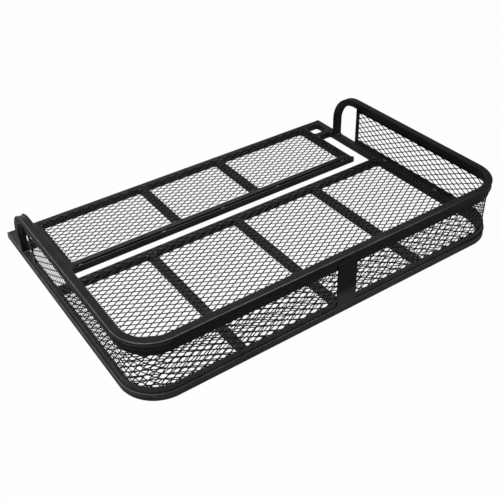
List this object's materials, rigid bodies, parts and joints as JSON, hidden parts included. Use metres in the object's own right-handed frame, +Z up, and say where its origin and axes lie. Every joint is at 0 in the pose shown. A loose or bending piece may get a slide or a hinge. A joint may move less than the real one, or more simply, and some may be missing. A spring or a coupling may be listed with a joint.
{
  "type": "luggage rack",
  "caption": "Rigid black luggage rack of welded square tube, with an expanded-metal basket walled on three sides, a flat mesh shelf beside it and a hoop-ended top rail.",
  "frame": {"origin": "on the ground under the centre of the frame", "axes": "+X along the rack's length, +Y from the basket to the shelf, +Z up"},
  "size_m": [1.067, 0.762, 0.165],
  "materials": {
    "tube": "satin powder coat",
    "mesh": "satin powder coat",
    "flat_bar": "satin powder coat",
    "weld": "satin powder coat"
  },
  "bodies": {
    "root": {"base_frame_tube": "tube", "front_tube": "tube", "shelf_left_end_bar": "tube", "shelf_right_end_bar": "tube", "shelf_left_cross_bar": "tube", "shelf_right_cross_bar": "tube", "shelf_rear_tube": "tube", "left_corner_link": "tube", "right_corner_link": "tube", "basket_front_tube": "tube", "basket_left_cross_bar": "tube", "basket_centre_cross_bar": "tube", "basket_right_cross_bar": "tube", "top_rail": "tube", "shelf_mesh": "mesh", "basket_floor_mesh": "mesh", "left_wall_mesh": "mesh", "left_corner_mesh": "mesh", "rear_wall_mesh": "mesh", "right_corner_mesh": "mesh", "right_wall_mesh": "mesh", "shelf_rear_flat": "flat_bar", "left_wall_end_strap": "flat_bar", "right_wall_end_strap": "flat_bar", "wall_lower_strip": "flat_bar", "wall_upper_strip": "flat_bar", "rear_support_plate": "flat_bar", "shelf_stitch_welds": "weld", "shelf_bar_welds": "weld", "corner_welds": "weld", "basket_bar_welds": "weld", "hoop_welds": "weld", "wall_tack_welds": "weld"}
  },
  "joints": []
}
